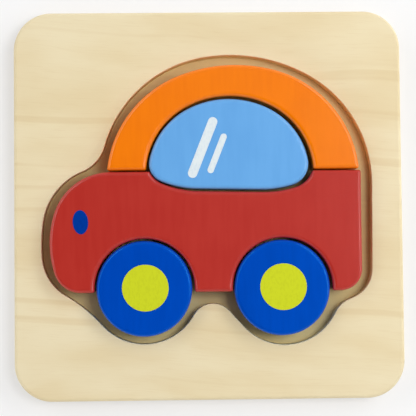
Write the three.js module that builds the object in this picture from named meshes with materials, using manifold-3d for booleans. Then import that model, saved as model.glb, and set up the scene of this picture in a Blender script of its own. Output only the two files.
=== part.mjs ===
// A toddler's inset car puzzle in wood: a plywood tray with a car-shaped pocket, five chunky painted
// blocks that lift out of it, and the marks printed on the blocks.
// Millimetres, +Z up. The tray lies on its back with the middle of its underside at the origin; the
// car's nose points to -X, its tail to +X and its roof to +Y.
import * as THREE from "three";
import { mergeVertices } from "three/addons/utils/BufferGeometryUtils.js";
import Module from "manifold-3d";

// Tray: a frame board cut right through by the pocket, glued on a plain backing board
const backingThickness = 3;
const frameThickness = 6;
const trayEdgeRound = 1.5;
const trayCornerRadius = 14.5;
const noseMargin = 10.2;
const tailMargin = 11.8;
const roofMargin = 16.7;
const wheelMargin = 20.55;

// Pocket: the car's outline with room for fingertips, its inner corners eased
const pocketClearance = 4.3;
const noseClearance = 4.7;
const bonnetClearance = 2.6;
const pocketNoseRadius = 80;
const pocketNoseDrop = 1.3;
const pocketBonnetRadius = 24.9;
const pocketChinRadius = 19.3;
const pocketCrownLead = 2.9;
const pocketFrontAngle = THREE.MathUtils.degToRad(10);
const pocketTailAngle = THREE.MathUtils.degToRad(28);
const frontWellClearance = 3.85;
const frontWellShift = { x: -0.9, y: 0.4 };
const rearWellClearance = 3.45;
const rearWellShift = { x: 0.55, y: -0.8 };
const bonnetNotchRadius = 14.4;
const chinNotchRadius = 62;
const humpRadius = 8.1;
const humpSlack = 1.25;
const tailNotchRadius = 10.7;

// Blocks: one thickness of board, sanded round at both faces, with small crisp corners
const blockThickness = 12;
const blockEdgeRound = 1.6;
const cornerRadius = 0.8;
const crispRadius = 0.1;

// Body
const bodyBottom = -33.3;
const bodyHeight = 46;
const noseX = -60.1;
const tailX = 58.9;
const noseRadius = 37.9;
const noseHeight = 19;
const bonnetRadius = 22.5;
const chinRadius = 10.5;
const tailCornerRadius = 8.3;

// Wheels, each in an arch of the body
const wheelRadius = 18.2;
const wheelGap = 0.85;
const axleHeight = 1.3;
const frontWheelX = -24.1;
const rearWheelX = 28.5;

// Window: a domed pane let into the top of the body
const windowGap = 1.2;
const sillDepth = 6.4;
const sillFall = 0.5;
const sillRadius = 38;
const windowHeight = 34.4;
const windowCrownX = 9.2;
const windowCrownRadius = 34.1;
const windowHaunchRadius = 28.2;
const windowCrownAngle = THREE.MathUtils.degToRad(27);
const frontTipRadius = 7.2;
const frontTipLift = 2.4;
const tailTipRadius = 8.5;
const tailTipLift = 1.4;

// Roof: an arch that stands on the body and spans the window
const roofGap = 1;
const roofRise = 40.3;
const roofCrownX = 11.4;
const roofCrownRadius = 58.7;
const roofHaunchRadius = 43.7;
const roofFrontAngle = THREE.MathUtils.degToRad(22);
const roofTailAngle = THREE.MathUtils.degToRad(14.5);

// Printed marks
const inkThickness = 0.1;
const hubRadius = 8.85;
const hubDrift = { x: 0.4, y: 0.3 };
const headlightWidth = 5.9;
const headlightHeight = 9.2;
const headlightLean = THREE.MathUtils.degToRad(3.4);
const headlightFromNose = 11.9;
const headlightAboveBottom = 26.9;
const glintSlope = THREE.MathUtils.degToRad(68.2);
const longGlint = { length: 24.7, width: 3.6, fromCrown: -9.9, aboveSill: 15.7 };
const shortGlint = { length: 16.1, width: 2.45, fromCrown: -4.4, aboveSill: 13.4 };

// How the loose blocks have settled, as shares of the gap that each has to move in
const bodySettle = { x: -0.15, y: -0.02 };
const roofSettle = { x: -0.45, y: -0.5 };
const windowSettle = { x: -0.7, y: -0.3 };
const frontWheelSettle = { x: -0.13, y: 0.13 };
const rearWheelSettle = { x: -0.33, y: 0.1 };

// Mesh fineness
const chordTolerance = 0.025;
const roundSteps = 4;
const joinTolerance = 1e-3;

// Heights and levels that follow from the sizes above
const bodyTop = bodyBottom + bodyHeight;
const wheelY = bodyBottom + axleHeight;
const frontSill = bodyTop - sillDepth;
const tailSill = frontSill - sillFall;
const windowTop = frontSill + windowHeight;
const roofBase = bodyTop + roofGap;
const roofTop = roofBase + roofRise;
const archRadius = wheelRadius + wheelGap;

// An outline runs counter-clockwise round pins as a belt runs round pulleys. It goes round a convex pin
// on the outside and turns the other way at a concave one; pins that touch flow into each other, and
// others are joined by a straight.
const convex = (x, y, radius) => ({ x, y, radius, turn: 1 });
const concave = (x, y, radius) => ({ x, y, radius, turn: -1 });
const grown = (pin, extra) => convex(pin.x, pin.y, pin.radius + extra);
const hollowed = (pin, extra) => concave(pin.x, pin.y, pin.radius + extra);

// Heading of the straight that leaves one pin for the next, and its length.
function straight(from, to) {
  const apart = Math.hypot(to.x - from.x, to.y - from.y);
  const drift = from.turn * from.radius - to.turn * to.radius;
  const swing = Math.asin(THREE.MathUtils.clamp(drift / apart, -1, 1));
  const length = Math.sqrt(Math.max(apart ** 2 - drift ** 2, 0));
  return { heading: Math.atan2(to.y - from.y, to.x - from.x) + swing, length };
}

// Where the outline comes on to each pin, and how far it turns there.
function turnsOf(pins) {
  return pins.map((pin, i) => {
    const entry = straight(pins.at(i - 1), pin);
    const exit = straight(pin, pins[(i + 1) % pins.length]);
    const slack = Math.PI / 2;
    const ahead = pin.turn * (exit.heading - entry.heading) + slack;
    const sweep = THREE.MathUtils.euclideanModulo(ahead, 2 * Math.PI) - slack;
    return { heading: entry.heading, sweep, joined: entry.length < joinTolerance };
  });
}

// Arc steps at each pin that keep the chords within tolerance.
function arcSteps(pins) {
  return turnsOf(pins).map(({ sweep }, i) => {
    const step = 2 * Math.acos(1 - Math.min(chordTolerance / pins[i].radius, 1));
    return Math.max(1, Math.ceil(Math.abs(sweep) / step));
  });
}

// Points of the outline, with a set number of steps at each pin.
function outlinePoints(pins, steps = arcSteps(pins)) {
  return turnsOf(pins).flatMap(({ heading, sweep, joined }, i) => {
    const { x, y, radius, turn } = pins[i];
    const points = [];
    for (let k = joined ? 1 : 0; k <= steps[i]; k += 1) {
      const angle = heading + (turn * sweep * k) / steps[i];
      const outX = turn * radius * Math.sin(angle);
      const outY = -turn * radius * Math.cos(angle);
      points.push(new THREE.Vector2(x + outX, y + outY));
    }
    return points;
  });
}

// Where a level line meets the circle of a given reach about a pin, to its left (-1) or right (+1).
function meet(pin, reach, y, side) {
  return pin.x + side * Math.sqrt(reach ** 2 - (y - pin.y) ** 2);
}

// The convex pin of a given radius and height that touches another from within, to its left or right.
function within(pin, radius, y, side) {
  return convex(meet(pin, pin.radius - radius, y, side), y, radius);
}

// The concave pin that touches two convex ones from outside, where the outline goes from one to the other.
function fillet(from, to, radius) {
  const apart = Math.hypot(to.x - from.x, to.y - from.y);
  const fromReach = from.radius + radius;
  const toReach = to.radius + radius;
  const along = (apart ** 2 + fromReach ** 2 - toReach ** 2) / (2 * apart);
  const aside = Math.sqrt(fromReach ** 2 - along ** 2);
  const stepX = (to.x - from.x) / apart;
  const stepY = (to.y - from.y) / apart;
  const x = from.x + stepX * along + stepY * aside;
  const y = from.y + stepY * along - stepX * aside;
  return concave(x, y, radius);
}

// Three arcs that flow into each other. The crown reaches the stated angles to either side of upright.
function archPins({ crownX, top, crownRadius, haunchRadius, frontAngle, tailAngle }) {
  const crown = convex(crownX, top - crownRadius, crownRadius);
  const reach = crownRadius - haunchRadius;
  const haunch = (angle) =>
    convex(crown.x + reach * Math.sin(angle), crown.y + reach * Math.cos(angle), haunchRadius);
  return { front: haunch(-frontAngle), crown, tail: haunch(tailAngle) };
}

const windowArch = archPins({
  crownX: windowCrownX,
  top: windowTop,
  crownRadius: windowCrownRadius,
  haunchRadius: windowHaunchRadius,
  frontAngle: windowCrownAngle,
  tailAngle: windowCrownAngle,
});

const roofArch = archPins({
  crownX: roofCrownX,
  top: roofTop,
  crownRadius: roofCrownRadius,
  haunchRadius: roofHaunchRadius,
  frontAngle: roofFrontAngle,
  tailAngle: roofTailAngle,
});

// The window's lower pins: a tip inside each haunch, and a broad corner that takes it down to the sill.
function lowerWindow(haunch, tipRadius, tipLift, sill, side) {
  const tip = within(haunch, tipRadius, sill + tipRadius + tipLift, side);
  const cornerY = sill + sillRadius;
  const corner = convex(meet(tip, sillRadius - tipRadius, cornerY, -side), cornerY, sillRadius);
  return { tip, corner };
}

const windowFront = lowerWindow(windowArch.front, frontTipRadius, frontTipLift, frontSill, -1);
const windowTail = lowerWindow(windowArch.tail, tailTipRadius, tailTipLift, tailSill, 1);

// Small corners shrink with the inset and end as crisp mitres.
const cornerAt = (inset) => Math.max(cornerRadius - inset, crispRadius);

// Each block's outline, drawn in by an inset for the rings of its rounded edges
function windowPins(inset) {
  const pins = [
    windowFront.corner,
    windowTail.corner,
    windowTail.tip,
    windowArch.tail,
    windowArch.crown,
    windowArch.front,
    windowFront.tip,
  ];
  return pins.map((pin) => grown(pin, -inset));
}

function roofPins(inset) {
  const corner = cornerAt(inset);
  const footY = roofBase + inset + corner;
  const outer = (pin) => grown(pin, -inset);
  const inner = (pin) => hollowed(pin, windowGap + inset);
  const foot = (pin, reach, side) => convex(meet(pin, reach, footY, side), footY, corner);
  const outerFoot = (pin, side) => foot(pin, pin.radius - inset - corner, side);
  const innerFoot = (pin, side) => foot(pin, pin.radius + windowGap + inset + corner, side);
  return [
    innerFoot(windowArch.tail, 1),
    outerFoot(roofArch.tail, 1),
    outer(roofArch.tail),
    outer(roofArch.crown),
    outer(roofArch.front),
    outerFoot(roofArch.front, -1),
    innerFoot(windowArch.front, -1),
    inner(windowArch.front),
    inner(windowArch.crown),
    inner(windowArch.tail),
  ];
}

// The body's nose flows into its bonnet above and its chin below.
const nose = convex(noseX + noseRadius, bodyBottom + noseHeight, noseRadius);
const bonnet = within(nose, bonnetRadius, bodyTop - bonnetRadius, -1);
const chin = within(nose, chinRadius, bodyBottom + chinRadius, -1);
const tailCorner = convex(tailX - tailCornerRadius, bodyBottom + tailCornerRadius, tailCornerRadius);
const frontArch = concave(frontWheelX, wheelY, archRadius);
const rearArch = concave(rearWheelX, wheelY, archRadius);

function bodyPins(inset) {
  const corner = cornerAt(inset);
  const lipY = bodyTop - inset - corner;
  const footY = bodyBottom + inset + corner;
  const recess = (pin) => hollowed(pin, windowGap + inset);
  const lip = (pin, side) => {
    const reach = pin.radius + windowGap + inset + corner;
    return convex(meet(pin, reach, lipY, side), lipY, corner);
  };
  const foot = (arch, side) => {
    const reach = arch.radius + inset + corner;
    return convex(meet(arch, reach, footY, side), footY, corner);
  };
  return [
    grown(tailCorner, -inset),
    convex(tailX - inset - corner, lipY, corner),
    lip(windowTail.tip, 1),
    recess(windowTail.tip),
    recess(windowTail.corner),
    recess(windowFront.corner),
    recess(windowFront.tip),
    lip(windowFront.tip, -1),
    grown(bonnet, -inset),
    grown(nose, -inset),
    grown(chin, -inset),
    foot(frontArch, -1),
    hollowed(frontArch, inset),
    foot(frontArch, 1),
    foot(rearArch, -1),
    hollowed(rearArch, inset),
    foot(rearArch, 1),
  ];
}

// The pocket's wells, one round each wheel
const well = (wheelX, clearance, shift) =>
  convex(wheelX + shift.x, wheelY + shift.y, wheelRadius + clearance);
const frontWell = well(frontWheelX, frontWellClearance, frontWellShift);
const rearWell = well(rearWheelX, rearWellClearance, rearWellShift);

// The pocket's front is fuller and flatter than the nose that it takes
const pocketNoseX = noseX - noseClearance + pocketNoseRadius;
const pocketNose = convex(pocketNoseX, nose.y - pocketNoseDrop, pocketNoseRadius);
const pocketBonnetY = bodyTop + bonnetClearance - pocketBonnetRadius;
const pocketBonnet = within(pocketNose, pocketBonnetRadius, pocketBonnetY, -1);
const pocketChinY = bodyBottom - pocketClearance + pocketChinRadius;
const pocketChin = within(pocketNose, pocketChinRadius, pocketChinY, -1);

// The pocket goes round the car at its clearance and dips round the wells. The hump between the wells rounds
// off from the front one and runs straight to the rear one.
function pocketPins() {
  const arch = archPins({
    crownX: roofCrownX - pocketCrownLead,
    top: roofTop + pocketClearance,
    crownRadius: roofCrownRadius + pocketClearance,
    haunchRadius: roofHaunchRadius + pocketClearance,
    frontAngle: pocketFrontAngle,
    tailAngle: pocketTailAngle,
  });
  const pocketTail = grown(tailCorner, pocketClearance);
  return [
    pocketTail,
    arch.tail,
    arch.crown,
    arch.front,
    fillet(arch.front, pocketBonnet, bonnetNotchRadius),
    pocketBonnet,
    pocketNose,
    pocketChin,
    fillet(pocketChin, frontWell, chinNotchRadius),
    frontWell,
    fillet(frontWell, grown(rearWell, humpSlack), humpRadius),
    rearWell,
    fillet(rearWell, pocketTail, tailNotchRadius),
  ];
}

// The tray leaves its margins round the pocket.
const roofFront = roofArch.front.x - roofHaunchRadius;
const roofTail = roofArch.tail.x + roofHaunchRadius;
const tray = {
  left: Math.min(noseX - noseClearance, roofFront - pocketClearance) - noseMargin,
  right: Math.max(tailX, roofTail) + pocketClearance + tailMargin,
  top: roofTop + pocketClearance + roofMargin,
  bottom: Math.min(frontWell.y - frontWell.radius, rearWell.y - rearWell.radius) - wheelMargin,
};

function trayPins(inset) {
  const radius = trayCornerRadius - inset;
  const left = tray.left + trayCornerRadius;
  const right = tray.right - trayCornerRadius;
  const top = tray.top - trayCornerRadius;
  const bottom = tray.bottom + trayCornerRadius;
  return [
    convex(left, bottom, radius),
    convex(right, bottom, radius),
    convex(right, top, radius),
    convex(left, top, radius),
  ];
}

// Insets and heights of the rings from a slab's lower face to its upper one, each edge rounded or square.
function edgeProfile(height, lowerRound, upperRound) {
  const quarter = Array.from({ length: roundSteps + 1 }, (_, k) => (k * Math.PI) / (2 * roundSteps));
  const lower = quarter.map((angle) => ({
    inset: lowerRound * (1 - Math.sin(angle)),
    z: lowerRound * (1 - Math.cos(angle)),
  }));
  const upper = quarter.map((angle) => ({
    inset: upperRound * (1 - Math.cos(angle)),
    z: height - upperRound * (1 - Math.sin(angle)),
  }));
  const lowerRings = lowerRound > 0 ? lower : lower.slice(-1);
  const upperRings = upperRound > 0 ? upper : upper.slice(0, 1);
  return [...lowerRings, ...upperRings];
}

// A slab lofted through the rings of its edge profile and closed by a flat face at each end.
function slabGeometry(pinsAt, height, lowerRound, upperRound) {
  const steps = arcSteps(pinsAt(0));
  const profile = edgeProfile(height, lowerRound, upperRound);
  const rings = profile.map(({ inset }) => outlinePoints(pinsAt(inset), steps));
  const count = rings[0].length;
  const ringPositions = (ring, r) => ring.flatMap(({ x, y }) => [x, y, profile[r].z]);
  const positions = rings.flatMap(ringPositions);
  const index = [];
  for (let r = 0; r + 1 < rings.length; r += 1) {
    for (let i = 0; i < count; i += 1) {
      const next = (i + 1) % count;
      const low = r * count;
      const high = low + count;
      index.push(low + i, low + next, high + next, low + i, high + next, high + i);
    }
  }
  const upperFace = (rings.length - 1) * count;
  for (const [a, b, c] of THREE.ShapeUtils.triangulateShape(rings[0], [])) {
    index.push(c, b, a);
  }
  for (const [a, b, c] of THREE.ShapeUtils.triangulateShape(rings.at(-1), [])) {
    index.push(upperFace + a, upperFace + b, upperFace + c);
  }
  const geometry = new THREE.BufferGeometry();
  geometry.setAttribute("position", new THREE.Float32BufferAttribute(positions, 3));
  geometry.setIndex(index);
  return geometry;
}

function blockGeometry(pinsAt) {
  return slabGeometry(pinsAt, blockThickness, blockEdgeRound, blockEdgeRound);
}

// A wheel turned from its half section, then stood on its face.
function wheelGeometry() {
  const rim = edgeProfile(blockThickness, blockEdgeRound, blockEdgeRound);
  const section = [
    new THREE.Vector2(0, 0),
    ...rim.map(({ inset, z }) => new THREE.Vector2(wheelRadius - inset, z)),
    new THREE.Vector2(0, blockThickness),
  ];
  const step = 2 * Math.acos(1 - chordTolerance / wheelRadius);
  return new THREE.LatheGeometry(section, Math.ceil((2 * Math.PI) / step)).rotateX(Math.PI / 2);
}

// A printed mark is a thin even film.
const inkGeometry = (shape, curveSegments = 1) =>
  new THREE.ExtrudeGeometry(shape, { depth: inkThickness, bevelEnabled: false, curveSegments });

function ovalShape(x, y, width, height, lean) {
  const shape = new THREE.Shape();
  shape.absellipse(x, y, width / 2, height / 2, 0, 2 * Math.PI, false, lean);
  return shape;
}

function strokeShape({ length, width, fromCrown, aboveSill }) {
  const halfRun = (length - width) / 2;
  const runX = halfRun * Math.cos(glintSlope);
  const runY = halfRun * Math.sin(glintSlope);
  const x = windowCrownX + fromCrown;
  const y = frontSill + aboveSill;
  const lower = convex(x - runX, y - runY, width / 2);
  const upper = convex(x + runX, y + runY, width / 2);
  return new THREE.Shape(outlinePoints([lower, upper]));
}

// Solid cutting
const wasm = await Module();
wasm.setup();

function toSolid(geometry) {
  const bare = new THREE.BufferGeometry();
  bare.setAttribute("position", geometry.getAttribute("position"));
  bare.setIndex(geometry.getIndex());
  const merged = mergeVertices(bare, joinTolerance);
  const vertProperties = new Float32Array(merged.getAttribute("position").array);
  const triVerts = new Uint32Array(merged.getIndex().array);
  return new wasm.Manifold(new wasm.Mesh({ numProp: 3, vertProperties, triVerts }));
}

function toGeometry(solid) {
  const { vertProperties, triVerts } = solid.getMesh();
  const geometry = new THREE.BufferGeometry();
  geometry.setAttribute("position", new THREE.BufferAttribute(vertProperties, 3));
  geometry.setIndex(new THREE.BufferAttribute(triVerts, 1));
  return geometry;
}

// The frame board: the rounded upper slab with the pocket cut right through it.
function frameGeometry() {
  const slab = slabGeometry(trayPins, frameThickness, 0, trayEdgeRound);
  const cutter = slabGeometry(pocketPins, 3 * frameThickness, 0, 0).translate(0, 0, -frameThickness);
  return toGeometry(toSolid(slab).subtract(toSolid(cutter)));
}

// Finishes
const finish = (color, roughness) => new THREE.MeshStandardMaterial({ color, roughness, metalness: 0 });
const bareWood = () => finish(0xeadcb6, 0.6);
const paint = (color) => finish(color, 0.42);
const ink = (color) => finish(color, 0.5);
const red = 0xb8392f;
const orange = 0xf37e12;
const skyBlue = 0x69abe7;
const deepBlue = 0x0248b8;
const navy = 0x023898;
const lime = 0xcad324;
const white = 0xdee8ea;

function piece(name, geometry, material, z) {
  const mesh = new THREE.Mesh(geometry, material);
  mesh.name = name;
  mesh.position.z = z;
  return mesh;
}

// A block stands on the backing board, moved sideways as it has settled, and carries its printed marks.
function block(name, geometry, color, shift, marks = []) {
  const group = new THREE.Group();
  group.position.set(shift.x, shift.y, backingThickness);
  group.add(piece(name, geometry, paint(color), 0), ...marks);
  return group;
}

const printed = (name, geometry, color) => piece(name, geometry, ink(color), blockThickness);
const share = (settle, gap) => new THREE.Vector2(settle.x * gap, settle.y * gap);

const bodyShift = share(bodySettle, pocketClearance);
const roofShift = share(roofSettle, roofGap).add(bodyShift);
const windowShift = share(windowSettle, windowGap).add(bodyShift);

const headlight = ovalShape(
  noseX + headlightFromNose,
  bodyBottom + headlightAboveBottom,
  headlightWidth,
  headlightHeight,
  headlightLean,
);
const headlightSegments = 24;

const car = new THREE.Group();
car.add(
  piece("backing_board", slabGeometry(trayPins, backingThickness, trayEdgeRound, 0), bareWood(), 0),
  piece("frame_board", frameGeometry(), bareWood(), backingThickness),
  block("car_body", blockGeometry(bodyPins), red, bodyShift, [
    printed("headlight_print", inkGeometry(headlight, headlightSegments), navy),
  ]),
  block("car_roof", blockGeometry(roofPins), orange, roofShift),
  block("car_window", blockGeometry(windowPins), skyBlue, windowShift, [
    printed("window_glint_long", inkGeometry(strokeShape(longGlint)), white),
    printed("window_glint_short", inkGeometry(strokeShape(shortGlint)), white),
  ]),
);

// The two wheels are alike, each with a round hub spot
const wheels = [
  { name: "front", x: frontWheelX, settle: frontWheelSettle },
  { name: "rear", x: rearWheelX, settle: rearWheelSettle },
];
const hubSegments = 24;
for (const { name, x, settle } of wheels) {
  const shift = share(settle, wheelGap).add(bodyShift).add(new THREE.Vector2(x, wheelY));
  const spot = ovalShape(hubDrift.x, hubDrift.y, 2 * hubRadius, 2 * hubRadius, 0);
  const hub = printed(`${name}_hub_print`, inkGeometry(spot, hubSegments), lime);
  car.add(block(`${name}_wheel`, wheelGeometry(), deepBlue, shift, [hub]));
}

// Set the middle of the tray over the origin
car.position.set(-(tray.left + tray.right) / 2, -(tray.bottom + tray.top) / 2, 0);
const puzzle = new THREE.Group();
puzzle.add(car);

export default puzzle;
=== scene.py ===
"""The looks of a toddler's wooden inset car puzzle: a plywood tray and five painted blocks.

Shapes are worked out in millimetres on the drawing's own axes. Each is then laid over the box of the
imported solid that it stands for, and goes into its mesh in metres.
"""

import logging
import math
from abc import ABC, abstractmethod
from dataclasses import dataclass, field
from enum import IntEnum
from functools import cache, cached_property
from typing import Any, Callable, ClassVar, Sequence

import bpy
import numpy as np
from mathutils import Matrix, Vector
from mathutils.geometry import tessellate_polygon


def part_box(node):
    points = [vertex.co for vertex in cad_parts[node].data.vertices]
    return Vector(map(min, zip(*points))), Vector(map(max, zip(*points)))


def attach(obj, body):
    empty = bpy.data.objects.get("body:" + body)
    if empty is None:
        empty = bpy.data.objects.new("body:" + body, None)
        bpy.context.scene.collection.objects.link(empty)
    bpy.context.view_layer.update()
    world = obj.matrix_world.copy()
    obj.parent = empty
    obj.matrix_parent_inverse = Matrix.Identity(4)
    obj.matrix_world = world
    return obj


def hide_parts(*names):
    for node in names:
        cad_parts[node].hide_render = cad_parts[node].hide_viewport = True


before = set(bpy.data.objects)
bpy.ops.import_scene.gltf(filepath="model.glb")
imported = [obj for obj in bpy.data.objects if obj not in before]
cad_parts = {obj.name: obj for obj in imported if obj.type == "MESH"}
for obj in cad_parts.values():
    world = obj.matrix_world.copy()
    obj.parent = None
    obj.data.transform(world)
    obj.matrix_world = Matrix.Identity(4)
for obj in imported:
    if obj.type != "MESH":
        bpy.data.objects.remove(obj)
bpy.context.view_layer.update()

log = logging.getLogger("car_puzzle")

# A millimetre in metres
MM = 0.001
# How far a chord may lie off its arc, in millimetres
CHORD = 0.004
# Steps of a rounded edge
ROUND_STEPS = 8
# Straights shorter than this, in millimetres, are none: their pins touch
JOIN = 1e-3

Colour = tuple[int, int, int]


def linear(colour: Colour) -> tuple[float, float, float, float]:
    """Turns a colour in screen values into the linear values that a shader takes.

    Args:
        colour: Red, green and blue from 0 to 255, as seen on a screen.

    Returns:
        Linear red, green and blue with full opacity.
    """
    screen = np.asarray(colour) / 255
    light = np.where(screen <= 0.04045, screen / 12.92, ((screen + 0.055) / 1.055) ** 2.4)
    return (*light.tolist(), 1.0)


# Outlines


class Side(IntEnum):
    """The end of the car that something lies towards, as a sign along x."""

    FRONT = -1
    TAIL = 1


class Turn(IntEnum):
    """How an outline passes a pin: it swells round the outside of it, or is hollowed by it."""

    OUTSIDE = 1
    INSIDE = -1


@dataclass(frozen=True)
class Pin:
    """A round pin of an outline."""

    x: float
    y: float
    radius: float
    turn: Turn = Turn.OUTSIDE

    def drawn_in(self, inset: float) -> "Pin":
        """The same pin for an outline that lies further in by the inset."""
        return Pin(self.x, self.y, self.radius - self.turn * inset, self.turn)

    def hollow(self, gap: float) -> "Pin":
        """A pin for the edge that follows this one from outside, a gap away."""
        return Pin(self.x, self.y, self.radius + gap, Turn.INSIDE)

    def meet(self, reach: float, level: float, side: Side) -> float:
        """Finds where a level line meets a circle about the pin.

        Args:
            reach: Radius of the circle.
            level: Height of the line.
            side: Which of the two crossings it is.

        Returns:
            The crossing's x.
        """
        return self.x + side * math.sqrt(reach**2 - (level - self.y) ** 2)

    def within(self, radius: float, level: float, side: Side) -> "Pin":
        """The smaller pin at a given height that touches this one from inside, on one side."""
        return Pin(self.meet(self.radius - radius, level, side), level, radius)


def fillet(first: Pin, second: Pin, radius: float) -> Pin:
    """Makes the inner pin that touches two outer ones from outside.

    Args:
        first: Pin that the outline leaves.
        second: Pin that it goes to.
        radius: Radius of the pin between them.

    Returns:
        The pin to the right of the way from the first to the second.
    """
    way_x, way_y = second.x - first.x, second.y - first.y
    apart = math.hypot(way_x, way_y)
    reach = first.radius + radius
    along = (apart**2 + reach**2 - (second.radius + radius) ** 2) / (2 * apart)
    aside = math.sqrt(reach**2 - along**2)
    x = first.x + (way_x * along + way_y * aside) / apart
    y = first.y + (way_y * along - way_x * aside) / apart
    return Pin(x, y, radius, Turn.INSIDE)


class Outline:
    """A closed line that runs counter-clockwise round pins, as a belt runs round pulleys.

    Pins that touch flow into each other, and others are joined by a straight. Every ring of one outline
    has the same points in the same order, so that rings at different insets can be joined by a band.
    """

    def __init__(self, pins_at: Callable[[float], Sequence[Pin]]) -> None:
        """Divides the arc at each pin so that its chords stay close to it.

        Args:
            pins_at: Gives the pins of the outline drawn in by an inset.
        """
        self._pins_at = pins_at
        _, _, radius, _ = self._columns(0.0)
        _, sweep, run = self._turns(0.0)
        step = 2 * np.arccos(1 - np.minimum(CHORD / radius, 1))
        steps = np.maximum(1, np.ceil(np.abs(sweep) / step)).astype(int)
        owner = np.repeat(np.arange(len(steps)), steps + 1)
        count = np.arange(len(owner)) - np.repeat(np.cumsum(steps + 1) - steps - 1, steps + 1)
        kept = (count > 0) | (run[owner] > JOIN)
        self._owner = owner[kept]
        self._share = count[kept] / steps[owner[kept]]

    def _columns(self, inset: float) -> np.ndarray:
        """The pins' x, y, radius and turn as four arrays."""
        return np.array([(pin.x, pin.y, pin.radius, pin.turn) for pin in self._pins_at(inset)]).T

    def _turns(self, inset: float) -> tuple[np.ndarray, np.ndarray, np.ndarray]:
        """Works out how the line goes round its pins.

        The straight from one pin to the next leans from the line of centres by the angle whose sine is
        the difference of their signed radii over their distance.

        Args:
            inset: How far the outline is drawn in.

        Returns:
            The heading on to each pin, the turn there, and the length of the straight before it.
        """
        x, y, radius, turn = self._columns(inset)
        way_x, way_y = np.roll(x, -1) - x, np.roll(y, -1) - y
        apart = np.hypot(way_x, way_y)
        drift = turn * radius - np.roll(turn * radius, -1)
        away = np.arctan2(way_y, way_x) + np.arcsin(np.clip(drift / apart, -1, 1))
        run = np.sqrt(np.maximum(apart**2 - drift**2, 0))
        heading = np.roll(away, 1)
        quarter = np.pi / 2
        sweep = (turn * (away - heading) + quarter) % (2 * np.pi) - quarter
        return heading, sweep, np.roll(run, 1)

    def ring(self, inset: float = 0.0) -> np.ndarray:
        """Samples the outline.

        Args:
            inset: How far the outline is drawn in.

        Returns:
            One row of x and y for each point.
        """
        x, y, radius, turn = self._columns(inset)
        heading, sweep, _ = self._turns(inset)
        angle = heading[self._owner] + (turn * sweep)[self._owner] * self._share
        reach = (turn * radius)[self._owner]
        return np.column_stack((
            x[self._owner] + reach * np.sin(angle),
            y[self._owner] - reach * np.cos(angle),
        ))


class Pinned(ABC):
    """A shape whose outline runs round pins."""

    @abstractmethod
    def pins(self, inset: float) -> list[Pin]:
        """The outline's pins, drawn in by an inset."""

    @cached_property
    def outline(self) -> Outline:
        """The outline, divided once for all its rings."""
        return Outline(self.pins)

    def ring(self, inset: float) -> np.ndarray:
        """The outline drawn in by an inset."""
        return self.outline.ring(inset)


def oval_ring(width: float, height: float, lean: float, inset: float) -> np.ndarray:
    """Samples an ellipse about the origin: half its axes times the cosine and sine of an even angle.

    Args:
        width: Length of the level axis before it leans.
        height: Length of the upright axis.
        lean: Counter-clockwise turn in radians.
        inset: How much each half axis is shortened.

    Returns:
        One row of x and y for each point.
    """
    half = np.array([width, height]) / 2 - inset
    count = math.ceil(math.pi / math.acos(1 - CHORD / (max(width, height) / 2)))
    angle = np.linspace(0, 2 * np.pi, count, endpoint=False)
    level, upright = half[0] * np.cos(angle), half[1] * np.sin(angle)
    cos, sin = math.cos(lean), math.sin(lean)
    return np.column_stack((level * cos - upright * sin, level * sin + upright * cos))


@dataclass(frozen=True)
class Arch:
    """Three arcs that flow into each other: a crown between two haunches."""

    front: Pin
    crown: Pin
    tail: Pin

    @classmethod
    def make(
        cls,
        crown_x: float,
        top: float,
        crown_radius: float,
        haunch_radius: float,
        front_angle: float,
        tail_angle: float,
    ) -> "Arch":
        """Sets the haunches inside the crown, so that they touch it where it ends.

        Args:
            crown_x: Where the crown is highest.
            top: Height of the crown.
            crown_radius: Radius of the crown.
            haunch_radius: Radius of both haunches.
            front_angle: Degrees that the crown reaches to the front of upright.
            tail_angle: Degrees that it reaches to the tail.

        Returns:
            The arch.
        """
        crown = Pin(crown_x, top - crown_radius, crown_radius)
        reach = crown_radius - haunch_radius
        front, tail = (
            Pin(
                crown.x + reach * math.sin(angle),
                crown.y + reach * math.cos(angle),
                haunch_radius,
            )
            for angle in (math.radians(-front_angle), math.radians(tail_angle))
        )
        return cls(front, crown, tail)


# Meshes


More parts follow.
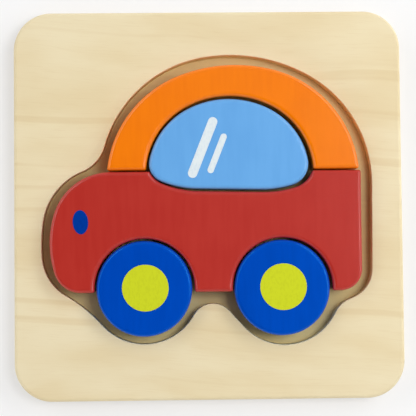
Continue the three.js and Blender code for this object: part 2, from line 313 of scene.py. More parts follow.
class Solid:
    """A closed mesh put together from rings, with bands between them and flat fills across them."""

    def __init__(self, mark: str | None = None) -> None:
        """Starts an empty solid.

        Args:
            mark: Name of the attribute that holds each ring's mark, if a finish reads one.
        """
        self._mark = mark
        self._points: list[np.ndarray] = []
        self._marks: list[np.ndarray] = []
        self._faces: list[tuple[np.ndarray, bool, int]] = []
        self._count = 0

    def ring(self, points: np.ndarray, height: float, mark: float = 0.0) -> np.ndarray:
        """Adds a level ring of points.

        Args:
            points: One row of x and y for each point.
            height: Height of the ring.
            mark: Value of the solid's attribute on the ring.

        Returns:
            The numbers of the ring's vertices.
        """
        self._points.append(np.column_stack((points, np.full(len(points), height))))
        self._marks.append(np.full(len(points), mark))
        numbers = np.arange(len(points)) + self._count
        self._count += len(points)
        return numbers

    def wall(self, rings: Sequence[np.ndarray]) -> None:
        """Joins each ring to the next by a band of quads that faces right of the way round them."""
        for lower, upper in zip(rings, rings[1:]):
            quads = np.column_stack((lower, np.roll(lower, -1), np.roll(upper, -1), upper))
            self._faces.append((quads, True, 0))

    def fill(self, rings: Sequence[np.ndarray], faces_up: bool, slot: int = 0) -> None:
        """Fills a ring with a flat face, less the rings inside it.

        Args:
            rings: The outer ring, then the rings of its holes.
            faces_up: True for an upper face, False for a lower one.
            slot: Material slot of the face.
        """
        points = np.concatenate(self._points)
        numbers = np.concatenate(rings)
        triangles = np.array(tessellate_polygon([points[ring].tolist() for ring in rings]))
        corner = points[numbers[triangles]]
        edge, other = corner[:, 1] - corner[:, 0], corner[:, 2] - corner[:, 0]
        looks_up = edge[:, 0] * other[:, 1] - edge[:, 1] * other[:, 0] > 0
        turned = np.where((looks_up == faces_up)[:, None], triangles, triangles[:, ::-1])
        self._faces.append((numbers[turned], False, slot))

    def close(self, rings: Sequence[np.ndarray], top_slot: int = 0) -> None:
        """Makes a pile of rings, the lowest first, into a closed solid.

        Args:
            rings: The rings.
            top_slot: Material slot of the upper face.
        """
        self.wall(rings)
        self.fill([rings[0]], faces_up=False)
        self.fill([rings[-1]], faces_up=True, slot=top_slot)

    def finish(self, name: str) -> bpy.types.Object:
        """Writes the solid into a mesh object at the origin.

        Args:
            name: Name of the piece.

        Returns:
            The new object.
        """
        corners = np.concatenate([faces.ravel() for faces, _, _ in self._faces])
        sides = np.concatenate([np.full(len(faces), faces.shape[1]) for faces, _, _ in self._faces])
        smooth = np.concatenate([np.full(len(faces), even) for faces, even, _ in self._faces])
        slots = np.concatenate([np.full(len(faces), slot) for faces, _, slot in self._faces])
        mesh = bpy.data.meshes.new(name)
        mesh.vertices.add(self._count)
        mesh.vertices.foreach_set("co", (np.concatenate(self._points) * MM).ravel())
        mesh.loops.add(len(corners))
        mesh.loops.foreach_set("vertex_index", corners)
        mesh.polygons.add(len(sides))
        mesh.polygons.foreach_set("loop_start", np.cumsum(sides) - sides)
        mesh.polygons.foreach_set("use_smooth", smooth)
        mesh.polygons.foreach_set("material_index", slots)
        mesh.update(calc_edges=True)
        if self._mark is not None:
            mesh.attributes.new(self._mark, "FLOAT", "POINT")
            mesh.attributes[self._mark].data.foreach_set("value", np.concatenate(self._marks))
        made = bpy.data.objects.new(name, mesh)
        bpy.context.scene.collection.objects.link(made)
        return made


def quarter_round(radius: float) -> tuple[np.ndarray, np.ndarray]:
    """The quarter circle from a slab's side to its face.

    Args:
        radius: Radius of the rounded edge.

    Returns:
        How far each step is drawn in, and how far it lies below the face.
    """
    angle = np.linspace(0, np.pi / 2, ROUND_STEPS + 1)
    return radius * (1 - np.cos(angle)), radius * (1 - np.sin(angle))


# Shaders


class Value:
    """A value in a shader. Arithmetic on it adds Math nodes to its graph."""

    def __init__(self, graph: "Graph", socket: bpy.types.NodeSocket) -> None:
        """Wraps an output socket of the graph."""
        self.graph = graph
        self.socket = socket

    def _math(self, operation: str, *terms: "Value | float") -> "Value":
        """The result of a Math node on up to three terms."""
        made = self.graph.node("ShaderNodeMath", {"operation": operation}, dict(enumerate(terms)))
        return made["Value"]

    def __add__(self, other: "Value | float") -> "Value":
        """Sum."""
        return self._math("ADD", self, other)

    __radd__ = __add__

    def __sub__(self, other: "Value | float") -> "Value":
        """Difference."""
        return self._math("SUBTRACT", self, other)

    def __rsub__(self, other: float) -> "Value":
        """Difference from a number."""
        return self._math("SUBTRACT", other, self)

    def __mul__(self, other: "Value | float") -> "Value":
        """Product."""
        return self._math("MULTIPLY", self, other)

    __rmul__ = __mul__

    def __truediv__(self, other: "Value | float") -> "Value":
        """Quotient."""
        return self._math("DIVIDE", self, other)

    def __mod__(self, other: "Value | float") -> "Value":
        """Remainder, from 0 up to the divisor."""
        return self._math("FLOORED_MODULO", self, other)

    def __pow__(self, other: "Value | float") -> "Value":
        """Power."""
        return self._math("POWER", self, other)

    def ramp(self, low: float, high: float) -> "Value":
        """Rises smoothly from 0 at the low value to 1 at the high one; falls if high is under low."""
        first, last, start, end = (low, high, 0.0, 1.0) if low < high else (high, low, 1.0, 0.0)
        made = self.graph.node(
            "ShaderNodeMapRange",
            {"interpolation_type": "SMOOTHSTEP"},
            {"Value": self, "From Min": first, "From Max": last, "To Min": start, "To Max": end},
        )
        return made["Result"]


class Node:
    """A node that has been added, with its outputs by name."""

    def __init__(self, graph: "Graph", made: bpy.types.Node) -> None:
        """Wraps a node of the graph."""
        self._graph = graph
        self._made = made

    def __getitem__(self, name: str) -> Value:
        """The output in use that has that name."""
        return Value(self._graph, live(self._made.outputs, name))


def live(sockets: Any, key: str | int) -> bpy.types.NodeSocket:
    """Picks a socket by number, or the one in use that has a name.

    Args:
        sockets: A node's inputs or outputs.
        key: Number or name.

    Returns:
        The socket.
    """
    if isinstance(key, int):
        return sockets[key]
    return next(socket for socket in sockets if socket.name == key and socket.enabled)


class Graph:
    """The nodes of one material or of the world."""

    def __init__(self, owner: bpy.types.Material | bpy.types.World) -> None:
        """Empties the owner's node tree."""
        owner.use_nodes = True
        self.owner = owner
        self._tree = owner.node_tree
        self._tree.nodes.clear()

    @classmethod
    def material(cls, name: str) -> "Graph":
        """Starts a new material."""
        return cls(bpy.data.materials.new(name))

    def node(
        self,
        kind: str,
        settings: dict[str, Any] | None = None,
        sockets: dict[str | int, Any] | None = None,
    ) -> Node:
        """Adds a node.

        Args:
            kind: Its type.
            settings: Its properties, which are set first.
            sockets: Values or links of its inputs, by name or number.

        Returns:
            The node.
        """
        made = self._tree.nodes.new(kind)
        for name, setting in (settings or {}).items():
            setattr(made, name, setting)
        for key, value in (sockets or {}).items():
            socket = live(made.inputs, key)
            if isinstance(value, Value):
                self._tree.links.new(value.socket, socket)
            else:
                socket.default_value = value
        return Node(self, made)

    def place(self) -> tuple[Value, Value, Value]:
        """The point's x, y and z in metres, in the piece's own frame."""
        where = self.node("ShaderNodeTexCoord")["Object"]
        split = self.node("ShaderNodeSeparateXYZ", sockets={"Vector": where})
        return split["X"], split["Y"], split["Z"]

    def mark(self, name: str) -> Value:
        """The piece's own attribute of that name."""
        return self.node("ShaderNodeAttribute", {"attribute_name": name})["Fac"]

    def noise(self, x: Value, y: Value, z: Value, detail: float) -> Value:
        """Noise from 0 to 1 with about one swell for each unit of the coordinates.

        Args:
            x: First coordinate.
            y: Second coordinate.
            z: Third coordinate.
            detail: How many finer layers are added.

        Returns:
            The noise.
        """
        where = self.node("ShaderNodeCombineXYZ", sockets={"X": x, "Y": y, "Z": z})["Vector"]
        sockets = {"Vector": where, "Scale": 1.0, "Detail": detail}
        return self.node("ShaderNodeTexNoise", sockets=sockets)["Fac"]

    def mix(self, share: Value, first: Any, second: Any) -> Value:
        """Mixes two colours.

        Args:
            share: Share of the second colour.
            first: Colour at share 0.
            second: Colour at share 1.

        Returns:
            The mixed colour.
        """
        made = self.node(
            "ShaderNodeMix",
            {"data_type": "RGBA"},
            {"Factor": share, "A": first, "B": second},
        )
        return made["Result"]

    def bump(self, height: Value, depth: float, normal: Value | None = None) -> Value:
        """Tilts the surface by a height.

        Args:
            height: Height from 0 to 1.
            depth: Millimetres that height 1 stands for.
            normal: A bumped normal to start from.

        Returns:
            The new normal.
        """
        sockets = {"Height": height, "Distance": depth * MM, "Strength": 1.0}
        if normal is not None:
            sockets["Normal"] = normal
        return self.node("ShaderNodeBump", sockets=sockets)["Normal"]

    def surface(self, inputs: dict[str, Any]) -> bpy.types.Material:
        """Closes the material with a Principled shader.

        Args:
            inputs: Values or links of its inputs, by name.

        Returns:
            The material.
        """
        shader = self.node("ShaderNodeBsdfPrincipled", sockets=inputs)["BSDF"]
        self.node("ShaderNodeOutputMaterial", sockets={"Surface": shader})
        return self.owner


# Finishes


@dataclass(frozen=True)
class Figure:
    """A pattern of noise, with its swells for each metre along x, y and z, and the tone that it lets show.

    None of the tone shows up to the low noise, and from the high one its whole share does.
    """

    x: float
    y: float
    z: float
    detail: float = 2.0
    low: float = 0.0
    high: float = 1.0
    share: float = 1.0

    def noise(self, graph: Graph, x: Value, y: Value, z: Value) -> Value:
        """The noise at a point in metres, from 0 to 1."""
        return graph.noise(x * self.x, y * self.y, z * self.z, self.detail)

    def show(self, noise: Value) -> Value:
        """How much of the tone shows."""
        return noise.ramp(self.low, self.high) * self.share


@dataclass(frozen=True)
class Finish(ABC):
    """A finish that a piece wears. Pieces with the same finish share one material."""

    name: str

    @abstractmethod
    def inputs(self, graph: Graph) -> dict[str, Any]:
        """Adds the finish's nodes and gives the inputs of its Principled shader."""

    @cache
    def material(self) -> bpy.types.Material:
        """The finish's material."""
        graph = Graph.material(self.name)
        return graph.surface(self.inputs(graph))


@dataclass(frozen=True)
class BareWood(Finish):
    """Fine-sanded plywood: pale veneer with level grain and layers at its edges, with light painted on the
    pocket's cut walls.

    Layers, depths and the reach of the sway are in millimetres, the start and end of a core in layers.
    """

    pale: Colour = (236, 222, 186)
    deep: Colour = (229, 211, 170)
    line: Colour = (214, 188, 138)
    core: Colour = (198, 166, 118)
    # Painted light: a paler, greener tone for the pocket's cut walls, so that they read as lit against the
    # blocks' reddish bounce
    painted_wall_light: Colour = (242, 238, 200)
    painted_wall_light_share: float = 0.85
    layer: float = 1.2
    top: float = 9.0
    core_starts: tuple[float, float] = (0.96, 1.02)
    core_ends: tuple[float, float] = (2.0, 1.94)
    core_share: float = 0.85
    sway: Figure = Figure(14.0, 22.0, 22.0, detail=1.0)
    sway_reach: float = 8.0
    slant: float = 0.05
    cloud: Figure = Figure(20.0, 70.0, 70.0, detail=3.0, low=0.3, high=0.72)
    growth: Figure = Figure(5.0, 240.0, 240.0, low=0.56, high=0.7, share=0.32)
    growth_depth: float = 0.04
    fibre: Figure = Figure(110.0, 2200.0, 2200.0, low=0.5, high=0.85, share=0.24)
    fibre_depth: float = 0.02
    roughness: float = 0.62
    gloss: float = 0.2

    def inputs(self, graph: Graph) -> dict[str, Any]:
        """Colours the veneer and its layers, and paints light on its cut walls.

        Clouds, growth lines and fibres are noise drawn out along x and swayed by a slower noise. Every
        second layer down from the top is core. The mark named cut is 1 on the cut walls and 0 on the faces.

        Args:
            graph: The material's nodes.

        Returns:
            The shader's inputs.
        """
        x, y, z = graph.place()
        sway = self.sway.noise(graph, x, y, z) - 0.5
        across = y + x * self.slant + sway * (self.sway_reach * MM)
        cloud, growth, fibre = (
            figure.noise(graph, x, across, z) for figure in (self.cloud, self.growth, self.fibre)
        )
        colour = graph.mix(self.cloud.show(cloud), linear(self.pale), linear(self.deep))
        colour = graph.mix(self.growth.show(growth), colour, linear(self.line))
        colour = graph.mix(self.fibre.show(fibre), colour, linear(self.line))
        level = (self.top * MM - z) / (self.layer * MM) % 2.0
        core = level.ramp(*self.core_starts) * level.ramp(*self.core_ends)
        colour = graph.mix(core * self.core_share, colour, linear(self.core))
        # Painted light: the cut walls take a paler, greener tone than the veneer, so that they read as lit
        colour = graph.mix(graph.mark("cut") * self.painted_wall_light_share, colour, linear(self.painted_wall_light))
        return {
            "Base Color": colour,
            "Roughness": self.roughness,
            "Specular IOR Level": self.gloss,
            "Normal": graph.bump(fibre, self.fibre_depth, graph.bump(growth, self.growth_depth)),
        }


@dataclass(frozen=True)
class Paint(Finish):
    """Satin paint on wood, with the grain just showing through it."""

    colour: Colour
    shade: Colour
    tint: Colour = (255, 255, 255)
    roughness: float = 0.2
    gloss: float = 0.5
    grain: Figure = Figure(500.0, 60.0, 500.0, detail=1.0)
    grain_depth: float = 0.008
    cloud: Figure = Figure(60.0, 60.0, 60.0)
    cloud_depth: float = 0.05
    cloud_play: float = 0.08
    shade_ramp: tuple[float, float] = (0.3, 0.7)
    shade_share: float = 0.8

    def inputs(self, graph: Graph) -> dict[str, Any]:
        """Shows the grain, noise drawn out along y, as a faint change of colour and a shallow bump.

        Args:
            graph: The material's nodes.

        Returns:
            The shader's inputs.
        """
        place = graph.place()
        grain = self.grain.noise(graph, *place)
        cloud = self.cloud.noise(graph, *place)
        share = (grain * 0.5 + cloud * 0.5).ramp(*self.shade_ramp) * self.shade_share
        return {
            "Base Color": graph.mix(share, linear(self.colour), linear(self.shade)),
            "Roughness": self.roughness + (cloud - 0.5) * self.cloud_play,
            "Specular IOR Level": self.gloss,
            "Specular Tint": linear(self.tint),
            "Normal": graph.bump(cloud, self.cloud_depth, graph.bump(grain, self.grain_depth)),
        }


@dataclass(frozen=True)
class Ink(Finish):
    """A flat printed film, a little uneven over the grain under it."""

    colour: Colour
    thin: Colour
    tint: Colour = (255, 255, 255)
    roughness: float = 0.5
    gloss: float = 0.15
    speck: Figure = Figure(1500.0, 700.0, 1500.0, low=0.4, high=0.75, share=0.6)
    speck_depth: float = 0.02

    def inputs(self, graph: Graph) -> dict[str, Any]:
        """Mixes in a thinner tone by fine noise, which also lifts the film a little.

        Args:
            graph: The material's nodes.

        Returns:
            The shader's inputs.
        """
        speck = self.speck.noise(graph, *graph.place())
        return {
            "Base Color": graph.mix(self.speck.show(speck), linear(self.colour), linear(self.thin)),
            "Roughness": self.roughness,
            "Specular IOR Level": self.gloss,
            "Specular Tint": linear(self.tint),
            "Normal": graph.bump(speck, self.speck_depth),
        }


# Pieces


@dataclass
class Piece(ABC):
    """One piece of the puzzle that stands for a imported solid."""

    node: str
    body: str
    slot: str

    def spread(self) -> tuple[np.ndarray, np.ndarray]:
        """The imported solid's lowest and highest corner in millimetres."""
        low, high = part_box(self.node)
        return np.array(low) / MM, np.array(high) / MM

    @abstractmethod
    def build(self) -> bpy.types.Object:
        """Makes the mesh."""

    @abstractmethod
    def finishes(self) -> Sequence[Finish]:
        """The finishes of the mesh's material slots, in their order."""

    def dress(self, made: bpy.types.Object) -> None:
        """Gives the mesh its materials."""
        for finish in self.finishes():
            made.data.materials.append(finish.material())

    def add(self) -> None:
        """Builds the piece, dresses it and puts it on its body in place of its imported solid."""
        made = self.build()
        self.dress(made)
        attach(made, self.body)
        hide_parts(self.node)
        log.info("%s: %d faces on %s", made.name, len(made.data.polygons), self.body)


@dataclass
class Block(Piece):
    """A chunky painted block, rounded at both faces."""

    paint: Paint
    edge_round: float = 1.6
    corner_radius: float = 0.8
    crisp_radius: float = 0.1

    @abstractmethod
    def ring(self, inset: float) -> np.ndarray:
        """The block's outline drawn in by an inset."""

    def corner(self, inset: float) -> float:
        """Radius of a small corner, which shrinks with the inset and ends as a crisp mitre."""
        return max(self.corner_radius - inset, self.crisp_radius)

    def build(self) -> bpy.types.Object:
        """Carries the edge profile round the outline: a quarter round, the side and a quarter round.

        Returns:
            The block.
        """
        low, high = self.spread()
        shift = low[:2] - self.ring(0.0).min(axis=0)
        inset, drop = quarter_round(self.edge_round)
        insets = np.concatenate((inset[::-1], inset))
        heights = np.concatenate((low[2] + drop[::-1], high[2] - drop))
        solid = Solid()
        rings = [
            solid.ring(self.ring(reach) + shift, height) for reach, height in zip(insets, heights)
        ]
        solid.close(rings)
        return solid.finish(f"{self.node}_block")

    def finishes(self) -> Sequence[Finish]:
        """The block's paint."""
        return (self.paint,)


@dataclass
class CarWindow(Pinned, Block):
    """The domed window pane, a little smaller all round than the opening that it lies in."""

    gap: float = 1.2
    sill: float = 6.3
    sill_fall: float = 0.5
    sill_radius: float = 38.0
    height: float = 34.4
    crown_x: float = 9.2
    crown_radius: float = 34.1
    haunch_radius: float = 28.2
    crown_angle: float = 27.0
    front_tip_radius: float = 7.2
    front_tip_lift: float = 2.4
    tail_tip_radius: float = 8.5
    tail_tip_lift: float = 1.4

    def __post_init__(self) -> None:
        """Works out the pins: the arch, a tip inside each haunch and a broad corner down to the sill."""
        self.arch = Arch.make(
            self.crown_x,
            self.sill + self.height,
            self.crown_radius,
            self.haunch_radius,
            self.crown_angle,
            self.crown_angle,
        )
        self.front_tip, self.front_corner = self._lower(
            self.arch.front, self.front_tip_radius, self.front_tip_lift, self.sill, Side.FRONT
        )
        tail_sill = self.sill - self.sill_fall
        self.tail_tip, self.tail_corner = self._lower(
            self.arch.tail, self.tail_tip_radius, self.tail_tip_lift, tail_sill, Side.TAIL
        )

    def _lower(self, haunch: Pin, radius: float, lift: float, sill: float, side: Side) -> tuple[Pin, Pin]:
        """Finds the pins under one haunch.

        Args:
            haunch: The haunch that the tip lies inside.
            radius: Radius of the tip.
            lift: How far the tip lies above the sill.
            sill: Height of the sill on this side.
            side: End of the car that the haunch is at.

        Returns:
            The tip and the broad corner.
        """
        tip = haunch.within(radius, sill + radius + lift, side)
        middle = sill + self.sill_radius
        corner_x = tip.meet(self.sill_radius - radius, middle, Side(-side))
        corner = Pin(corner_x, middle, self.sill_radius)
        return tip, corner

    def pins(self, inset: float) -> list[Pin]:
        """The outline's pins, drawn in."""
        pins = (
            self.front_corner,
            self.tail_corner,
            self.tail_tip,
            self.arch.tail,
            self.arch.crown,
            self.arch.front,
            self.front_tip,
        )
        return [pin.drawn_in(inset) for pin in pins]


@dataclass
class CarRoof(Pinned, Block):
    """The roof: an arch that stands on the body and spans the window."""

    window: CarWindow = field(kw_only=True)
    base: float = 13.7
    rise: float = 40.3
    crown_x: float = 11.4
    crown_radius: float = 58.7
    haunch_radius: float = 43.7
    front_angle: float = 22.0
    tail_angle: float = 14.5

    def __post_init__(self) -> None:
        """Works out the outer arch."""
        self.arch = Arch.make(
            self.crown_x,
            self.base + self.rise,
            self.crown_radius,
            self.haunch_radius,
            self.front_angle,
            self.tail_angle,
        )

    def pins(self, inset: float) -> list[Pin]:
        """The outer arch, the window's arch a gap away from the window, and the corners of both feet."""
        corner = self.corner(inset)
        level = self.base + inset + corner
        outer = [pin.drawn_in(inset) for pin in (self.arch.tail, self.arch.crown, self.arch.front)]
        span = self.window.arch
        inner = [pin.hollow(self.window.gap + inset) for pin in (span.front, span.crown, span.tail)]

        def foot(pin: Pin, side: Side) -> Pin:
            """The corner where an arc comes down to the foot."""
            return Pin(pin.meet(pin.radius - pin.turn * corner, level, side), level, corner)

        return [
            foot(inner[2], Side.TAIL),
            foot(outer[0], Side.TAIL),
            *outer,
            foot(outer[2], Side.FRONT),
            foot(inner[0], Side.FRONT),
            *inner,
        ]


@dataclass
class Wheel(Block):
    """A round wheel block, the same front and rear."""

    radius: float = 18.2

    def ring(self, inset: float) -> np.ndarray:
        """The wheel's circle drawn in by an inset."""
        return oval_ring(2 * self.radius, 2 * self.radius, 0.0, inset)


@dataclass
class CarBody(Pinned, Block):
    """The body, with a recess for the window in its top and an arch for each wheel."""

    window: CarWindow = field(kw_only=True)
    bottom: float = -33.3
    height: float = 46.0
    nose_x: float = -60.1
    tail_x: float = 58.9
    nose_radius: float = 37.9
    nose_height: float = 19.0
    bonnet_radius: float = 22.5
    chin_radius: float = 10.5
    tail_corner_radius: float = 8.3
    wheel_radius: float = 18.2
    wheel_gap: float = 0.85
    axle_height: float = 1.3
    front_wheel_x: float = -24.1
    rear_wheel_x: float = 28.5

    def __post_init__(self) -> None:
        """Works out the pins of the nose, the bonnet, the chin, the tail and the wheels."""
        self.top = self.bottom + self.height
        self.nose = Pin(self.nose_x + self.nose_radius, self.bottom + self.nose_height, self.nose_radius)
        self.bonnet = self.nose.within(self.bonnet_radius, self.top - self.bonnet_radius, Side.FRONT)
        self.chin = self.nose.within(self.chin_radius, self.bottom + self.chin_radius, Side.FRONT)
        self.tail_corner = Pin(
            self.tail_x - self.tail_corner_radius,
            self.bottom + self.tail_corner_radius,
            self.tail_corner_radius,
        )
        self.axle = self.bottom + self.axle_height
        self.wheels = [
            Pin(x, self.axle, self.wheel_radius) for x in (self.front_wheel_x, self.rear_wheel_x)
        ]

    def pins(self, inset: float) -> list[Pin]:
        """The outline's pins, drawn in, with small corners at the recess, the arches and the tail."""
        corner = self.corner(inset)
        lip_level = self.top - inset - corner
        foot_level = self.bottom + inset + corner
        pane = self.window
        recess = [
            pin.hollow(pane.gap + inset)
            for pin in (pane.tail_tip, pane.tail_corner, pane.front_corner, pane.front_tip)
        ]
        front, rear = (wheel.hollow(self.wheel_gap + inset) for wheel in self.wheels)

        def edge(pin: Pin, level: float, side: Side) -> Pin:
            """The corner where a hollow comes out at a level edge."""
            return Pin(pin.meet(pin.radius + corner, level, side), level, corner)

        return [
            self.tail_corner.drawn_in(inset),
            Pin(self.tail_x - inset - corner, lip_level, corner),
            edge(recess[0], lip_level, Side.TAIL),
            *recess,
            edge(recess[-1], lip_level, Side.FRONT),
            self.bonnet.drawn_in(inset),
            self.nose.drawn_in(inset),
            self.chin.drawn_in(inset),
            edge(front, foot_level, Side.FRONT),
            front,
            edge(front, foot_level, Side.TAIL),
            edge(rear, foot_level, Side.FRONT),
            rear,
            edge(rear, foot_level, Side.TAIL),
        ]


@dataclass
class BackingBoard(Piece):
    """The plain board under the frame, which is also the floor of the pocket."""

    edge_round: float = 1.5
    corner_radius: float = 14.5
    wood: BareWood = BareWood("backing_plywood", layer=1.0, top=3.0)
    # Painted shade: the pocket floor is a little darker and yellower than the veneer, the tone it takes in
    # the shaded pocket
    floor: BareWood = BareWood(
        "pocket_floor_painted_shade",
        pale=(230, 213, 158),
        deep=(224, 204, 146),
        top=3.0,
    )

    def build(self) -> bpy.types.Object:
        """Carries a round lower edge and a plain side round the board's outline.

        Returns:
            The board.
        """
        low, high = self.spread()
        outline = Outline(lambda inset: board_pins(low, high, self.corner_radius, inset))
        inset, drop = quarter_round(self.edge_round)
        solid = Solid("cut")
        rings = [
            solid.ring(outline.ring(reach), low[2] + rise) for reach, rise in zip(inset[::-1], drop[::-1])
        ]
        rings.append(solid.ring(outline.ring(), high[2]))
        solid.close(rings, top_slot=1)
        return solid.finish("tray_backing")

    def finishes(self) -> Sequence[Finish]:
        """Sanded wood outside, and the pocket's floor in a painted shade tone."""
        return (self.wood, self.floor)


def board_pins(low: np.ndarray, high: np.ndarray, radius: float, inset: float) -> list[Pin]:
    """The pins of a board with round corners.

    Args:
        low: Lowest corner of its box.
        high: Highest corner.
        radius: Radius of its corners.
        inset: How far the outline is drawn in.

    Returns:
        The four corner pins.
    """
    left, bottom = low[:2] + radius
    right, top = high[:2] - radius
    corners = ((left, bottom), (right, bottom), (right, top), (left, top))
    return [Pin(x, y, radius - inset) for x, y in corners]


@dataclass(frozen=True)
class Well:
    """The part of the pocket round one wheel, off the wheel's middle by a shift."""

    clearance: float
    shift_x: float
    shift_y: float

    def pin(self, wheel: Pin) -> Pin:
        """The well's pin round a wheel."""
        return Pin(wheel.x + self.shift_x, wheel.y + self.shift_y, wheel.radius + self.clearance)


@dataclass
class FrameBoard(Piece):
    """The board on top of the tray, cut right through by the pocket that goes round the car."""

    car_body: CarBody = field(kw_only=True)
    roof: CarRoof = field(kw_only=True)
    edge_round: float = 1.5
    corner_radius: float = 14.5
    clearance: float = 4.3
    nose_clearance: float = 4.7
    bonnet_clearance: float = 2.6
    nose_radius: float = 80.0
    nose_drop: float = 1.3
    bonnet_radius: float = 24.9
    chin_radius: float = 19.3
    crown_lead: float = 2.9
    front_angle: float = 10.0
    tail_angle: float = 28.0
    front_well: Well = Well(3.85, -0.9, 0.4)
    rear_well: Well = Well(3.45, 0.55, -0.8)
    bonnet_notch_radius: float = 14.4
    chin_notch_radius: float = 62.0
    hump_radius: float = 8.1
    hump_slack: float = 1.25
    tail_notch_radius: float = 10.7
    roof_margin: float = 16.7
    nose_margin: float = 10.2
    pocket_ease: float = 0.3
    wood: BareWood = BareWood("frame_plywood")

    def _pocket_pins(self) -> list[Pin]:
        """The pocket's pins on the car's axes, from the tail over the roof and the nose to the wheels."""
        car, roof = self.car_body, self.roof
        arch = Arch.make(
            roof.crown_x - self.crown_lead,
            roof.base + roof.rise + self.clearance,
            roof.crown_radius + self.clearance,
            roof.haunch_radius + self.clearance,
            self.front_angle,
            self.tail_angle,
        )
        nose_x = car.nose_x - self.nose_clearance + self.nose_radius
        nose = Pin(nose_x, car.nose.y - self.nose_drop, self.nose_radius)
        bonnet_level = car.top + self.bonnet_clearance - self.bonnet_radius
        chin_level = car.bottom - self.clearance + self.chin_radius
        bonnet = nose.within(self.bonnet_radius, bonnet_level, Side.FRONT)
        chin = nose.within(self.chin_radius, chin_level, Side.FRONT)
        tail = car.tail_corner.drawn_in(-self.clearance)
        wells = self.front_well, self.rear_well
        front, rear = (well.pin(wheel) for well, wheel in zip(wells, car.wheels))
        return [
            tail,
            arch.tail,
            arch.crown,
            arch.front,
            fillet(arch.front, bonnet, self.bonnet_notch_radius),
            bonnet,
            nose,
            chin,
            fillet(chin, front, self.chin_notch_radius),
            front,
            fillet(front, rear.drawn_in(-self.hump_slack), self.hump_radius),
            rear,
            fillet(rear, tail, self.tail_notch_radius),
        ]

    def build(self) -> bpy.types.Object:
        """Carries a round upper edge round the board, and an eased edge down into the pocket.

        The eased edge starts on the pocket's outline, so that the wall under it lies in by the ease.

        Returns:
            The board.
        """
        low, high = self.spread()
        car_left = self.car_body.nose_x - self.nose_clearance - self.nose_margin
        car_top = self.roof.base + self.roof.rise + self.clearance + self.roof_margin
        shift = np.array([low[0] - car_left, high[1] - car_top])
        board = Outline(lambda inset: board_pins(low, high, self.corner_radius, inset))
        pocket = Outline(lambda inset: [pin.drawn_in(inset) for pin in self._pocket_pins()])
        solid = Solid("cut")
        inset, drop = quarter_round(self.edge_round)
        outer = [solid.ring(board.ring(), low[2])]
        outer += [solid.ring(board.ring(reach), high[2] - fall) for reach, fall in zip(inset, drop)]
        ease, dip = quarter_round(self.pocket_ease)
        lip = self.pocket_ease - ease
        # The cut mark is 1 down the pocket wall and fades to 0 over the ease: there the wood takes its
        # painted wall light
        inner = [solid.ring(pocket.ring(lip[0]) + shift, low[2], 1.0)]
        inner += [
            solid.ring(pocket.ring(depth) + shift, high[2] - fall, depth / self.pocket_ease)
            for depth, fall in zip(lip, dip)
        ]
        solid.wall(outer)
        solid.wall(inner[::-1])
        solid.fill([outer[0], inner[0]], faces_up=False)
        solid.fill([outer[-1], inner[-1]], faces_up=True)
        return solid.finish("tray_frame")

    def finishes(self) -> Sequence[Finish]:
        """Sanded wood all over."""
        return (self.wood,)


@dataclass
class PrintedMark(Piece):
    """A mark printed on a block: a thin film with soft edges."""

    ink: Ink
    soft_edge: float = 0.08

    @abstractmethod
    def ring(self, inset: float) -> np.ndarray:
        """The mark's outline about its middle, drawn in by an inset."""

    def build(self) -> bpy.types.Object:
        """Carries a low rounded edge round the outline.

        Returns:
            The film.
        """
        low, high = self.spread()
        middle = (low[:2] + high[:2]) / 2
        inset, drop = quarter_round(self.soft_edge)
        solid = Solid()
        rings = [solid.ring(self.ring(0.0) + middle, low[2])]
        rings += [
            solid.ring(self.ring(reach) + middle, high[2] - fall) for reach, fall in zip(inset, drop)
        ]
        solid.close(rings)
        return solid.finish(f"{self.node}_film")

    def finishes(self) -> Sequence[Finish]:
        """The mark's ink."""
        return (self.ink,)


@dataclass
class OvalMark(PrintedMark):
    """A round or oval spot."""

    width: float = 17.7
    height: float = 17.7
    lean: float = 0.0

    def ring(self, inset: float) -> np.ndarray:
        """The oval drawn in by an inset."""
        return oval_ring(self.width, self.height, math.radians(self.lean), inset)


@dataclass
class GlintMark(Pinned, PrintedMark):
    """A slanting stroke with round ends."""

    length: float = 24.7
    width: float = 3.6
    slope: float = 68.2

    def pins(self, inset: float) -> list[Pin]:
        """A pin at each end of the stroke, drawn in."""
        run = (self.length - self.width) / 2
        x, y = run * math.cos(math.radians(self.slope)), run * math.sin(math.radians(self.slope))
        return [Pin(end * x, end * y, self.width / 2 - inset) for end in Side]


# Studio


@dataclass(frozen=True)
class SoftBox:
    """A soft light, aimed at the puzzle, that can be hidden from what is mirrored in the gloss.

    Its place and its sides are in metres and its power is in watts.
    """

    name: str
    place: tuple[float, float, float]
    width: float
    depth: float
    power: float
    mirrored: bool = True

    def add(self) -> None:
        """Hangs the light, with its width level, and turns it to the middle of the puzzle."""
        lamp = bpy.data.lights.new(self.name, "AREA")
        lamp.shape = "RECTANGLE"
        lamp.size = self.width
        lamp.size_y = self.depth
        lamp.energy = self.power
        made = bpy.data.objects.new(self.name, lamp)
        made.visible_glossy = self.mirrored
        made.location = self.place
        made.rotation_euler = (-Vector(self.place)).to_track_quat("-Z", "Y").to_euler()
        bpy.context.scene.collection.objects.link(made)


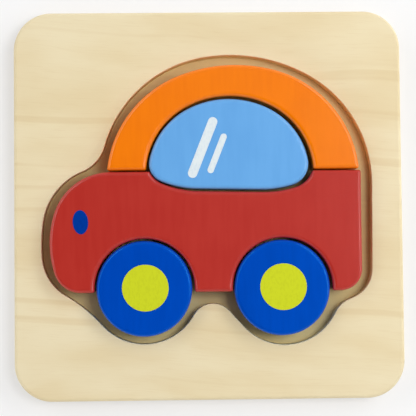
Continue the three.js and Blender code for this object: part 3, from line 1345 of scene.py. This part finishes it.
@dataclass(frozen=True)
class Studio:
    """A pale floor, a grey surround that is white low down and dark overhead, and soft lights all round.

    Half the floor's side and the distances over which it fades are in metres.
    """

    horizon: Colour = (250, 250, 250)
    horizon_ramp: tuple[float, float] = (0.45, 0.1)
    surround: Colour = (170, 170, 170)
    overhead: Colour = (0, 0, 0)
    overhead_way: tuple[float, float, float] = (-0.5, -0.2, 1.0)
    overhead_ramp: tuple[float, float] = (0.85, 1.08)
    floor_half: float = 3.0
    floor_colour: Colour = (243, 243, 243)
    floor_white: float = 0.45
    floor_fade: tuple[float, float] = (0.2, 1.2)
    lights: ClassVar[tuple[SoftBox, ...]] = (
        SoftBox("key_light", (0.21, 0.04, 0.50), 0.18, 0.18, 0.92, mirrored=False),
        SoftBox("front_light", (-0.64, -0.72, 0.30), 1.4, 0.3, 2.2, mirrored=False),
        SoftBox("right_light", (0.77, 0.32, 0.63), 1.2, 0.3, 4.6),
        SoftBox("left_light", (-0.77, 0.32, 0.63), 1.2, 0.3, 3.2),
    )

    def add(self) -> None:
        """Hangs the lights, sets the surround and lays the floor."""
        for light in self.lights:
            light.add()
        self._surround()
        self._floor()

    def _surround(self) -> None:
        """Colours the world: white low down, grey higher up, and dark about one way overhead."""
        sky = Graph(bpy.data.worlds.new("studio"))
        way = sky.node("ShaderNodeTexCoord")["Generated"]
        split = sky.node("ShaderNodeSeparateXYZ", sockets={"Vector": way})
        share_x, share_y, share_z = self.overhead_way
        height = split["X"] * share_x + split["Y"] * share_y + split["Z"] * share_z
        shade = sky.mix(split["Z"].ramp(*self.horizon_ramp), linear(self.surround), linear(self.horizon))
        shade = sky.mix(height.ramp(*self.overhead_ramp), shade, linear(self.overhead))
        glow = sky.node("ShaderNodeBackground", sockets={"Color": shade})["Background"]
        sky.node("ShaderNodeOutputWorld", sockets={"Surface": glow})
        bpy.context.scene.world = sky.owner

    def _floor(self) -> None:
        """Lays paper that keeps its shadows but looks whiter than it is lit, and all white far off."""
        solid = Solid()
        half = self.floor_half / MM
        corners = half * np.array([[-1.0, -1.0], [1.0, -1.0], [1.0, 1.0], [-1.0, 1.0]])
        solid.fill([solid.ring(corners, 0.0)], faces_up=True)
        graph = Graph.material("floor_paper")
        paper = graph.node("ShaderNodeBsdfDiffuse", sockets={"Color": linear(self.floor_colour)})["BSDF"]
        white = graph.node("ShaderNodeEmission")["Emission"]
        path = graph.node("ShaderNodeLightPath")
        seen = path["Is Camera Ray"] + path["Is Glossy Ray"] + path["Is Transmission Ray"]
        x, y, _ = graph.place()
        away = ((x * x + y * y) ** 0.5).ramp(*self.floor_fade)
        share = away * (1 - self.floor_white) + self.floor_white
        sockets = {0: seen * share, 1: paper, 2: white}
        shader = graph.node("ShaderNodeMixShader", sockets=sockets)["Shader"]
        graph.node("ShaderNodeOutputMaterial", sockets={"Surface": shader})
        floor = solid.finish("floor")
        floor.data.materials.append(graph.owner)


@dataclass(frozen=True)
class PhotoCamera:
    """A camera almost straight above the puzzle, leaning a little from the wheels' side."""

    place: tuple[float, float, float] = (-7.78, -18.28, 427.39)
    turn: tuple[float, float, float] = (2.334, -1.002, -0.5945)
    lens: float = 93.97
    sensor: float = 36.0
    nearest: float = 10.0

    def add(self) -> None:
        """Sets the scene's camera."""
        eye = bpy.data.cameras.new("photo_camera")
        eye.lens = self.lens
        eye.sensor_width = self.sensor
        eye.clip_start = self.nearest * MM
        made = bpy.data.objects.new("photo_camera", eye)
        made.location = np.array(self.place) * MM
        made.rotation_euler = np.radians(self.turn)
        bpy.context.scene.collection.objects.link(made)
        bpy.context.scene.camera = made


def puzzle() -> list[Piece]:
    """Names every piece with its body, its slot and its finish.

    Returns:
        The pieces in the order in which they are built.
    """
    red = Paint("red_paint", (184, 51, 42), (178, 44, 36))
    orange = Paint("orange_paint", (246, 126, 0), (240, 119, 0))
    sky = Paint("sky_paint", (105, 171, 231), (98, 164, 226))
    blue = Paint("blue_paint", (0, 73, 188), (0, 68, 178), tint=(60, 190, 255), roughness=0.14, gloss=0.7)
    lime = Ink("lime_ink", (203, 212, 36), (192, 200, 34))
    navy = Ink("navy_ink", (2, 56, 152), (2, 50, 138), tint=(60, 130, 255))
    white = Ink("white_ink", (224, 233, 236), (206, 220, 230))
    window = CarWindow("car_window", "window_block", "sky_paint", sky)
    roof = CarRoof("car_roof", "roof_block", "orange_paint", orange, window=window)
    body = CarBody("car_body", "body_block", "red_paint", red, window=window)
    return [
        BackingBoard("backing_board", "tray", "tray_wood"),
        FrameBoard("frame_board", "tray", "tray_wood", car_body=body, roof=roof),
        body,
        roof,
        window,
        Wheel("front_wheel", "front_wheel_block", "blue_paint", blue),
        Wheel("rear_wheel", "rear_wheel_block", "blue_paint", blue),
        OvalMark("headlight_print", "body_block", "navy_ink", navy, width=5.9, height=9.2, lean=3.4),
        GlintMark("window_glint_long", "window_block", "white_ink", white),
        GlintMark("window_glint_short", "window_block", "white_ink", white, length=16.1, width=2.45),
        OvalMark("front_hub_print", "front_wheel_block", "lime_ink", lime),
        OvalMark("rear_hub_print", "rear_wheel_block", "lime_ink", lime),
    ]


def main() -> None:
    """Builds the pieces, the studio and the camera."""
    logging.basicConfig(level=logging.INFO, format="%(name)s: %(message)s")
    bpy.context.scene.view_settings.view_transform = "Standard"
    for piece in puzzle():
        piece.add()
    Studio().add()
    PhotoCamera().add()


if __name__ == "__main__":
    main()
